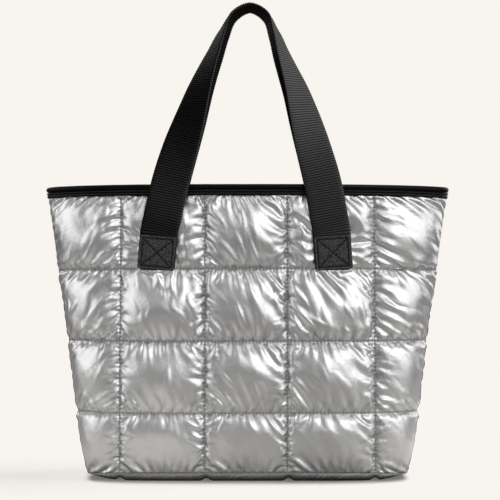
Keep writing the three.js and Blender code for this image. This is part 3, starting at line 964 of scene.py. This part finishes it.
def stitch_piece(name, starts, ends, ups, radius, arch, material, slot):
    """Stitches joined in one piece: each a short thread from hole to hole that arches up in its middle."""
    along = ends - starts
    side = unit(np.cross(along, ups))
    up = unit(np.cross(side, along))
    angle = 2 * math.pi * np.arange(STITCH_SIDES) / STITCH_SIDES
    lift = arch * np.sin(math.pi * STITCH_SHARES)
    centre = starts[:, None] + along[:, None] * STITCH_SHARES[:, None] + up[:, None] * lift[:, None]
    ring = side[:, None] * np.cos(angle)[:, None] - up[:, None] * np.sin(angle)[:, None]
    points = centre[:, :, None] + radius * STITCH_FATNESS[:, None, None] * ring[:, None]
    rings = len(STITCH_SHARES)
    first = np.arange(len(starts))[:, None, None] * rings * STITCH_SIDES
    sides = (grid_faces(rings, STITCH_SIDES, closed=True)[None] + first).reshape(-1, 4)
    cap = np.arange(STITCH_SIDES)
    caps = np.concatenate([first[:, 0] + cap[::-1], first[:, 0] + (rings - 1) * STITCH_SIDES + cap])
    settle(mesh_piece(name, points, [sides, caps], [material]), slot)


QUILT_THREAD_RADIUS = 0.0005
QUILT_THREAD_ARCH = 0.0011


def make_quilt_stitches(end, handle, fine, cloth):
    """Thread along every quilting seam of a panel and along its base seam."""
    starts, ends, ups = [], [], []
    row_step, column_step = (count * STEPS_PER_STITCH for count in (STITCHES_PER_ROW, STITCHES_PER_COLUMN))
    top = row_step * (len(ROW_SEAMS) - 1)
    lines = [(row, slice(None, None, STEPS_PER_STITCH)) for row in range(0, top, row_step)]
    inner_columns = range(column_step, cloth.shape[1] - 1, column_step)
    lines += [(slice(0, top + 1, STEPS_PER_STITCH), column) for column in inner_columns]
    for line in lines:
        holes, normals, hidden = cloth[line], fine.normals[line], fine.sewn[line]
        shown = ~(hidden[:-1] | hidden[1:])
        starts.append(holes[:-1][shown])
        ends.append(holes[1:][shown])
        ups.append(normals[:-1][shown])
    threads = [turned(np.concatenate(part), handle["turn"]) for part in (starts, ends, ups)]
    size = (QUILT_THREAD_RADIUS, QUILT_THREAD_ARCH)
    stitch_piece(f"{end}_quilt_stitches", *threads, *size, QUILT_THREAD, "quilted_foil")


# Handles
RIB_DEPTH = 0.0006
RIB_SHARPNESS = 4
STEPS_PER_RIB = 6
WEBBING_EDGE = 0.0009
FACE_STEPS = 8
EDGE_STEPS = 3


def webbing_section():
    """Points round the webbing's section: metres from its middle, and shares of its half thickness."""
    x = WEBBING_WIDTH / 2 - WEBBING_EDGE
    face = np.linspace(-x, x, FACE_STEPS + 1)
    angle = np.linspace(90, -90, EDGE_STEPS + 2)[1:-1] * math.pi / 180
    edge = np.stack([x + WEBBING_EDGE * np.cos(angle), np.sin(angle)], axis=-1)
    show = np.stack([face, np.ones_like(face)], axis=-1)
    return np.concatenate([show, edge, -show, -edge])


def make_handle(end, handle):
    """A handle's webbing, with ribs across it."""
    run = handle_run(handle)
    rows = np.linspace(0, 2 * LAST_ROW, HANDLE_STATIONS)
    lengths = np.concatenate([[0], np.cumsum(np.linalg.norm(np.diff(run(rows)[0], axis=0), axis=-1))])
    ribs = round(lengths[-1] / RIB_PITCH)
    stations = np.arange(ribs * STEPS_PER_RIB + 1) * lengths[-1] / (ribs * STEPS_PER_RIB)
    middle, across, _, outward = run(np.interp(stations, lengths, rows))
    section = webbing_section()
    rib = -RIB_DEPTH * np.cos(math.pi * np.arange(len(stations)) / STEPS_PER_RIB) ** RIB_SHARPNESS
    thick = (WEBBING_THICKNESS / 2 + rib)[:, None] * section[:, 1]
    points = middle[:, None] + section[:, :1] * across[:, None] + thick[..., None] * outward[:, None]
    count = len(section)
    cap = np.arange(count)[None]
    faces = [grid_faces(len(stations), count, closed=True), cap[:, ::-1], cap + (len(stations) - 1) * count]
    # The hidden inner face takes the darker copy of the webbing, as painted shade
    hidden = section[:, 1] == -1
    inside = hidden & np.roll(hidden, -1)
    inside = np.append(np.tile(inside, len(stations) - 1), (False, False))
    ribs_along = RIB_PITCH * np.arange(len(stations))[:, None] / STEPS_PER_RIB
    from_edge = section[:, 0] + WEBBING_WIDTH / 2 + WEBBING_EDGE
    uv = np.stack(np.broadcast_arrays(from_edge, ribs_along), axis=-1)
    materials = [WEBBING, PAINTED_SHADE_WEBBING_INSIDE]
    piece = mesh_piece(f"{end}_webbing", turned(points, handle["turn"]), faces, materials, uv, inside)
    return settle(piece, "webbing", f"{end}_handle")


# Patches
PATCH_CORNER = 0.0015
PATCH_ROUND = 0.0007
PATCH_STEPS = 56
PATCH_SEAM_INSET = 0.0031
PATCH_GROOVE = 0.0008
PATCH_GROOVE_WIDTH = 0.0013
PATCH_STITCH = 0.0031
PATCH_THREAD_RADIUS = 0.0007
PATCH_THREAD_ARCH = 0.0002
PATCH_CROWDING = 0.35


def patch_outline(a, b):
    """Places on a square grid moved so that the grid's corners become round."""
    inner_a, inner_b = PATCH_WIDTH / 2 - PATCH_CORNER, PATCH_HEIGHT / 2 - PATCH_CORNER
    over_a, over_b = np.maximum(np.abs(a) - inner_a, 0), np.maximum(np.abs(b) - inner_b, 0)
    reach = np.hypot(over_a, over_b)
    shrink = np.where(reach > 0, np.maximum(over_a, over_b) / np.maximum(reach, TINY), 1)
    a = np.where(over_a > 0, np.sign(a) * (inner_a + over_a * shrink), a)
    b = np.where(over_b > 0, np.sign(b) * (inner_b + over_b * shrink), b)
    return a, b


def patch_lines():
    """The corners that the patch's stitch lines run between: a border and a cross."""
    x, y = PATCH_WIDTH / 2 - PATCH_SEAM_INSET, PATCH_HEIGHT / 2 - PATCH_SEAM_INSET
    corners = np.array([(-x, -y), (x, -y), (x, y), (-x, y)])
    pairs = ((0, 1), (1, 2), (2, 3), (3, 0), (0, 2), (1, 3))
    return [(corners[first], corners[second]) for first, second in pairs]


def line_distance(a, b, start, end):
    """Distance of places on the patch from a stitch line."""
    along = end - start
    share = np.clip(((a - start[0]) * along[0] + (b - start[1]) * along[1]) / (along @ along), 0, 1)
    return np.hypot(a - start[0] - share * along[0], b - start[1] - share * along[1])


def make_patch(end, letter, handle, row):
    """A sewn patch with rounded edges and grooves along its stitch lines, and its thread."""
    middle, across, along, outward = handle_run(handle)(float(row))
    seat = middle + outward * (WEBBING_THICKNESS / 2 + GAP)
    share = np.sin(np.linspace(-math.pi / 2, math.pi / 2, PATCH_STEPS + 1))
    share = PATCH_CROWDING * share + (1 - PATCH_CROWDING) * np.linspace(-1, 1, PATCH_STEPS + 1)
    a, b = patch_outline(*np.meshgrid(share * PATCH_WIDTH / 2, share * PATCH_HEIGHT / 2))
    inset = np.minimum(PATCH_WIDTH / 2 - np.abs(a), PATCH_HEIGHT / 2 - np.abs(b))
    left = np.clip(1 - inset / PATCH_ROUND, 0, 1)
    height = PATCH_THICKNESS - PATCH_ROUND * (1 - np.sqrt(1 - left**2))
    away = np.min([line_distance(a, b, *line) for line in patch_lines()], axis=0)
    height = height - PATCH_GROOVE * np.exp(-((away / PATCH_GROOVE_WIDTH) ** 2))

    def place(a, b, height):
        parts = zip((a, b, height), (across, along, outward))
        return seat + sum(np.asarray(size)[..., None] * way for size, way in parts)

    count = PATCH_STEPS + 1
    top, bottom = place(a, b, height), place(a, b, 0 * height)
    ring = border(count, count)
    after = np.roll(ring, -1)
    walls = np.stack([ring + count**2, after + count**2, after, ring], axis=-1)
    points = np.concatenate([top.reshape(-1, 3), bottom.reshape(-1, 3)])
    faces = [grid_faces(count, count), grid_faces(count, count, count**2, turned=True), walls]
    name = f"{end}_patch_{letter}"
    settle(mesh_piece(f"{name}_cover", turned(points, handle["turn"]), faces, [PATCH]), "patch", name)
    starts, ends = [], []
    for start, finish in patch_lines():
        stitches = round(np.linalg.norm(finish - start) / PATCH_STITCH)
        spots = start + (finish - start) * np.linspace(0, 1, stitches + 1)[:, None]
        starts.append(spots[:-1])
        ends.append(spots[1:])
    level = PATCH_THICKNESS - PATCH_GROOVE
    starts, ends = (place(*np.concatenate(part).T, level) for part in (starts, ends))
    ups = np.broadcast_to(outward, starts.shape)
    threads = [turned(part, handle["turn"]) for part in (starts, ends, ups)]
    size = (PATCH_THREAD_RADIUS, PATCH_THREAD_ARCH)
    stitch_piece(f"{name}_stitches", *threads, *size, BLACK_THREAD, "patch")


# Rim
RIM_STATIONS = 300
RIM_SEED = 5
BINDING_BELOW = 0.0008
BINDING_ABOVE = 0.005
BINDING_THICKNESS = 0.0012
BINDING_LIP = 0.0008
BINDING_SOFT = 0.0008
BINDING_ROUND = 0.0004
BINDING_BELLY = 0.0001
HEM_ROUND = 0.0002
HEM_EDGE = 0.0003
RIM_STITCH_LEVELS = (0.0010, 0.0038)
RIM_STITCH_STEPS = 2
RIM_THREAD_RADIUS = 0.0004
RIM_THREAD_ARCH = 0.0002
PIPING_RADIUS = 0.003
PIPING_SIDES = 16
RIM_LOW = TOP_EDGE - 0.004
RIM_HIGH = TOP_EDGE + 0.0115

# How uneven the rim is: waves round the mouth and their size, in metres for the hem and otherwise as shares
HEM_WAVES = (260, 0.0003)
TAPE_WAVES = (200, 0.04)
ROLL_WAVES = (90, 0.02)


class Rim:
    """The mouth's edge as a closed line of stations, from which places out and up are worked out."""

    def __init__(self):
        girths = np.linspace(-SIDE_SEAM, SIDE_SEAM, RIM_STATIONS + 1)
        low, high = seam_row(girths, RIM_LOW), seam_row(girths, RIM_HIGH)
        outward = np.cross(np.gradient(low, axis=0), high - low)
        outward[[0, -1], 1] = 0
        self.low, self.high, self.outward = (self.whole(part) for part in (low, high, unit(outward)))

    @staticmethod
    def whole(front):
        back = front[-2:0:-1] * np.array([1, -1, 1])
        return np.concatenate([front, back])

    def place(self, out, up):
        share = ((TOP_EDGE + up - RIM_LOW) / (RIM_HIGH - RIM_LOW))[..., None]
        low, high, outward = (part[:, None] for part in (self.low, self.high, self.outward))
        return low + (high - low) * share + outward * np.asarray(out)[..., None]


def ring_piece(name, points, material, slot, node):
    """A ring round the mouth from the points of its section at each station."""
    stations, count = points.shape[:2]
    faces = grid_faces(stations + 1, count, closed=True) % (stations * count)
    settle(mesh_piece(name, points, [faces], [material]), slot, node)


def wavy(random, count, waves, size):
    """A closed smooth random line of values, about even from -size to size."""
    values = random.uniform(-1, 1, waves)
    places = np.arange(count) * waves / count
    return size * np.interp(places, np.arange(waves + 1), np.append(values, values[0]))[:, None]


def make_rim():
    """The binding tape, folded over the panels' top edges, and the roll along its top."""
    rim = Rim()
    stations = len(rim.low)
    random = np.random.default_rng(RIM_SEED)
    slot = SEAM_WALL / 2 + GAP
    out = slot + BINDING_THICKNESS
    below = -BINDING_BELOW + wavy(random, stations, *HEM_WAVES)
    half = np.array([
        (slot, 0, GAP),
        (slot, 1, 0),
        (slot + BINDING_ROUND, 1, -HEM_ROUND),
        (out - BINDING_ROUND, 1, -HEM_ROUND),
        (out, 1, HEM_EDGE),
        (out + BINDING_BELLY, 0, 0),
        (out, 0, BINDING_ABOVE + BINDING_LIP),
        (out - BINDING_SOFT, 0, BINDING_ABOVE),
    ])
    section = np.concatenate([half, half[::-1] * np.array([-1, 1, 1])])[::-1]
    up = section[:, 2] + section[:, 1] * below
    spread = section[:, 0] * (1 + wavy(random, stations, *TAPE_WAVES))
    ring_piece("rim_binding_tape", rim.place(spread, up), BINDING, "binding", "rim_binding")
    lines = np.array([(side * (out + GAP), level) for side in (1, -1) for level in RIM_STITCH_LEVELS])
    places = [np.broadcast_to(part, (stations, len(lines))) for part in lines.T]
    spots = rim.place(*places)[::RIM_STITCH_STEPS]
    ups = np.sign(lines[:, :1]) * rim.outward[::RIM_STITCH_STEPS, None]
    threads = [part.reshape(-1, 3) for part in (spots, np.roll(spots, -1, axis=0), ups)]
    stitch_piece("rim_stitches", *threads, RIM_THREAD_RADIUS, RIM_THREAD_ARCH, RIM_THREAD, "binding")
    angle = -2 * math.pi * np.arange(PIPING_SIDES) / PIPING_SIDES
    radius = PIPING_RADIUS * (1 + wavy(random, stations, *ROLL_WAVES))
    centre = BINDING_ABOVE + GAP + PIPING_RADIUS
    roll = rim.place(radius * np.cos(angle), centre + radius * np.sin(angle))
    ring_piece("rim_piping_roll", roll, BINDING, "binding", "rim_piping")


# Base
BASE_EDGE = 0.010
BASE_BULGE = 0.0012
BASE_FULLNESS = 0.4
# Painted shade on the base's rounded edge, darkest at its bottom
BASE_SHADE = 0.9
BASE_RIPPLE = 0.0011
BASE_RIPPLE_PITCH = 0.0062
RIPPLE_SLANT = 2
RIPPLE_LEAST = 0.4
RIPPLE_BEAT = 2.3
BASE_END_LIFT = 1.6
CHANNEL_DEPTH = 0.003
CHANNEL_HALF_WIDTH = 0.007
BASE_STEPS = 72
BASE_EDGE_STEPS = 12
EDGE_ANGLES = np.radians(np.linspace(0, 90, BASE_EDGE_STEPS + 1))


def make_base():
    """The padded base: a rounded edge below the base seam and flat pads between sewn channels."""
    seams = (np.array(COLUMN_SEAMS) - np.array(COLUMN_SEAMS)[::-1]) / 2
    girths = split(seams, BASE_STEPS)[1:-1]
    edge = seam_row(girths, BASE_SEAM)
    _, across = in_cell(seams, girths)
    crown = np.maximum(np.sin(math.pi * across), 0) ** BASE_FULLNESS
    depth = -edge[:, 1]
    rim = edge[:, 2] - 2 * GAP
    radius = np.minimum(BASE_EDGE, depth)
    channels = seam_row(seams[1:-1], BASE_SEAM)[:, 0]
    away = np.min(np.abs(edge[:, :1] - channels), axis=1)
    raised = CHANNEL_DEPTH * (1 - smoothstep(away, 0, CHANNEL_HALF_WIDTH))
    corner = np.abs(seam_row(np.array([SIDE_SEAM]), BASE_SEAM)[0, 0])
    end = np.maximum((np.abs(edge[:, 0]) - channels[-1]) / (corner - channels[-1]), 0)
    raised = np.maximum(raised, rim * end**BASE_END_LIFT)
    angle = EDGE_ANGLES[None]
    slanting = girths[:, None] / BASE_RIPPLE_PITCH + RIPPLE_SLANT * angle
    strength = BASE_RIPPLE * np.sin(2 * math.pi * slanting)
    ripple = strength * (RIPPLE_LEAST + np.sin(RIPPLE_BEAT * slanting) ** 2)
    # Painted shade, darker towards the bottom of the rounded edge
    shade = BASE_SHADE * np.broadcast_to(np.sin(angle) ** 2, ripple.shape)
    bulge = (crown * np.minimum(radius / BASE_EDGE, 1))[:, None] * (BASE_BULGE + ripple) * np.sin(2 * angle)
    front = -(depth - radius)[:, None] - radius[:, None] * np.cos(angle) - bulge
    level = rim[:, None] * (1 - np.sin(angle)) + raised[:, None] * np.sin(angle)
    back = -front[:, ::-1]
    y = np.concatenate([front, back], axis=1)
    z = np.concatenate([level, level[:, ::-1]], axis=1)
    x = np.broadcast_to(edge[:, :1], y.shape)
    under = np.stack([x, y, z], axis=-1)
    columns = y.shape[1]
    over = under.copy()
    over[..., 2] = rim[:, None]
    over[..., 1] = np.linspace(-1, 1, columns) * depth[:, None]
    over = over[:, 1:-1]
    rows = len(girths)
    top_columns = columns - 2
    top_start = rows * columns
    number = np.arange(rows)[:, None]
    over_number = top_start + number * top_columns + np.arange(top_columns)
    lid = np.concatenate([number * columns, over_number, number * columns + columns - 1], axis=1)
    lid_faces = np.stack([lid[:-1, :-1], lid[1:, :-1], lid[1:, 1:], lid[:-1, 1:]], axis=-1).reshape(-1, 4)
    tips = seam_row(np.array([-SIDE_SEAM, SIDE_SEAM]), BASE_SEAM) - np.array([0, 0, 2 * GAP])
    points = np.concatenate([under.reshape(-1, 3), over.reshape(-1, 3), tips])
    tip = len(points) - 2
    fans = []
    for row, corner, flip in ((0, tip, 1), (rows - 1, tip + 1, -1)):
        low_line = row * columns + np.arange(columns)
        for line, turn in ((low_line, flip), (lid[row], -flip)):
            fan = np.stack([line[:-1], line[1:], np.full(columns - 1, corner)], axis=-1)
            fans.append(fan[:, ::turn])
    faces = [grid_faces(rows, columns), lid_faces, np.concatenate(fans)]
    # The painted shade goes on the rounded edge, none on the lid
    seam = np.zeros(len(points))
    seam[:top_start] = np.concatenate([shade, shade[:, ::-1]], axis=1).ravel()
    piece = mesh_piece("base_cloth", points, faces, [PAINTED_SHADE_BASE_FOIL], values={"seam": seam})
    settle(piece, "quilted_foil", "base_panel")
    return piece


# Camera, light and floor
def make_camera():
    data = bpy.data.cameras.new("camera")
    data.sensor_width = SENSOR_MM
    data.lens = FOCAL_PIXELS / IMAGE_PIXELS * SENSOR_MM
    camera = bpy.data.objects.new("camera", data)
    camera.location = CAMERA_PLACE
    camera.rotation_euler = (math.pi / 2, 0, 0)
    bpy.context.scene.collection.objects.link(camera)
    bpy.context.scene.camera = camera


# Softboxes: name, place, width, height, power, all facing the bag
LIGHTS = (
    ("key", (0.94, -1.76, 1.13), 1.0, 1.4, 9),
    ("side", (1.83, -0.97, 0.8), 1.2, 1.6, 9),
    ("top", (0.2, 0.05, 2.0), 1.6, 1.2, 14),
    ("left", (-2.0, -0.6, 0.7), 2.4, 2.0, 20),
    ("fill", (0.9, -2.6, 1.7), 3.2, 2.2, 13),
    ("rear", (-0.94, 1.76, 1.13), 1.0, 1.4, 11),
    ("rear_fill", (-0.9, 2.6, 1.7), 3.2, 2.2, 12),
    ("rear_side", (1.7, 1.2, 0.9), 2.0, 1.6, 13),
    ("floor_side", (1.0, 0.1, 2.0), 1.2, 1.0, 15),
    ("floor_rear", (0, 2.0, 0.95), 1.2, 1.0, 44),
    ("floor_front", (0.5, -2.2, 1.8), 1.5, 1.5, 40),
    ("handles", (1.5, -0.35, 0.75), 1.2, 1.2, 95),
)
ON_THE_FLOOR = ("floor_side", "floor_rear", "floor_front")
OFF_THE_FLOOR = ("rear", "rear_fill", "rear_side")
OFF_FLOOR_AND_STRAPS = ("key", "fill", "side", "top", "left")
LIGHT_AIM = Vector((0, 0, 0.2))


def make_lights():
    for name, place, width, height, power in LIGHTS:
        data = bpy.data.lights.new(name, "AREA")
        data.shape = "RECTANGLE"
        data.size, data.size_y = width, height
        data.energy = power
        lamp = bpy.data.objects.new(name, data)
        lamp.location = place
        lamp.rotation_mode = "QUATERNION"
        lamp.rotation_quaternion = (LIGHT_AIM - Vector(place)).to_track_quat("-Z", "Y")
        bpy.context.scene.collection.objects.link(lamp)


def make_world():
    """A grey room for the light, and the pale backdrop where the camera looks past the bag."""
    world = bpy.data.worlds.new("studio")
    bpy.context.scene.world = world
    world.use_nodes = True
    tree = world.node_tree
    room = tree.nodes["Background"]
    room.inputs["Color"].default_value = ROOM
    backdrop = tree.nodes.new("ShaderNodeBackground")
    backdrop.inputs["Color"].default_value = BACKDROP
    mix = tree.nodes.new("ShaderNodeMixShader")
    path = tree.nodes.new("ShaderNodeLightPath")
    tree.links.new(path.outputs["Is Camera Ray"], mix.inputs["Fac"])
    tree.links.new(room.outputs[0], mix.inputs[1])
    tree.links.new(backdrop.outputs[0], mix.inputs[2])
    tree.links.new(mix.outputs[0], tree.nodes["World Output"].inputs["Surface"])


# The floor's warm grey as the bag mirrors it: painted shadow at its foot, painted light fading with distance
# from it, painted streaks of uneven light
FLOOR_REACH = 6.0
FOOTPRINT = (0.172, 0.058, 0)
FLOOR_TINT = (1.025, 1.0, 0.965)
FLOOR_STREAKS = (5.0, -1.2, 1.0)
FLOOR_PAINTED_UNEVEN_LIGHT = (-0.6, 2.75)
FLOOR_PAINTED_SHADOW_AND_LIGHT = ((0.0, 0.23), (0.05, 0.54), (0.25, 0.37), (0.55, 0.185), (0.95, 0.1))


def vector_node(material, operation, first, second=(0, 0, 0)):
    inputs = {0: first, 1: second}
    return add_node(material, "ShaderNodeVectorMath", inputs, operation=operation).outputs


def make_floor():
    material, shader = new_material("floor", roughness=0.9)
    place = place_of(material)
    beyond = vector_node(material, "ABSOLUTE", place)[0]
    beyond = vector_node(material, "SUBTRACT", beyond, FOOTPRINT)[0]
    beyond = vector_node(material, "MAXIMUM", beyond)[0]
    far = vector_node(material, "LENGTH", beyond)["Value"]
    # Painted shadow at the foot and a painted pool of light fading away from it, broken by painted streaks
    # of uneven light
    stops = [(away, (*(grey * part for part in FLOOR_TINT), 1)) for away, grey in FLOOR_PAINTED_SHADOW_AND_LIGHT]
    shade = tinted(material, far, *stops)
    stretched = vector_node(material, "MULTIPLY", place, FLOOR_STREAKS)[0]
    uneven = ranged(material, noise_of(material, 1.0, detail=1.0, vector=stretched), *FLOOR_PAINTED_UNEVEN_LIGHT)
    link(material, vector_node(material, "MULTIPLY", shade, uneven)[0], shader, "Base Color")
    points = FLOOR_REACH * np.array([(-1, -1, 0), (1, -1, 0), (1, 1, 0), (-1, 1, 0)])
    floor = mesh_piece("floor", points, [np.array([[0, 1, 2, 3]])], [material])
    floor.is_shadow_catcher = True
    return floor


def share_light(floor, base, straps):
    """Keeps lights off the floor and the straps, or on them alone, and thins the shadow on the floor."""
    for name, state, pieces in (
        *((name, "EXCLUDE", [floor]) for name in OFF_THE_FLOOR),
        *((name, "EXCLUDE", [floor, *straps]) for name in OFF_FLOOR_AND_STRAPS),
        *((name, "INCLUDE", [floor]) for name in ON_THE_FLOOR),
        ("handles", "INCLUDE", straps),
    ):
        receivers = bpy.data.collections.new(f"pieces_of_{name}_light")
        for piece in pieces:
            receivers.objects.link(piece)
        for member in receivers.collection_objects:
            member.light_linking.link_state = state
        bpy.data.objects[name].light_linking.receiver_collection = receivers
    for name, pieces in (("floor_rear", [base]), ("floor_front", [floor])):
        blockers = bpy.data.collections.new(f"shades_of_{name}_light")
        for piece in pieces:
            blockers.objects.link(piece)
        bpy.data.objects[name].light_linking.blocker_collection = blockers


make_camera()
make_world()
make_lights()
floor = make_floor()
bpy.context.scene.view_settings.view_transform = "Standard"
make_rim()
base = make_base()
straps = []
for end, handle in HANDLES.items():
    fine, cloth = make_panel(end, handle)
    make_quilt_stitches(end, handle, fine, cloth)
    straps.append(make_handle(end, handle))
    make_patch(end, "a", handle, PATCH_ROW)
    make_patch(end, "b", handle, 2 * LAST_ROW - PATCH_ROW)

share_light(floor, base, straps)
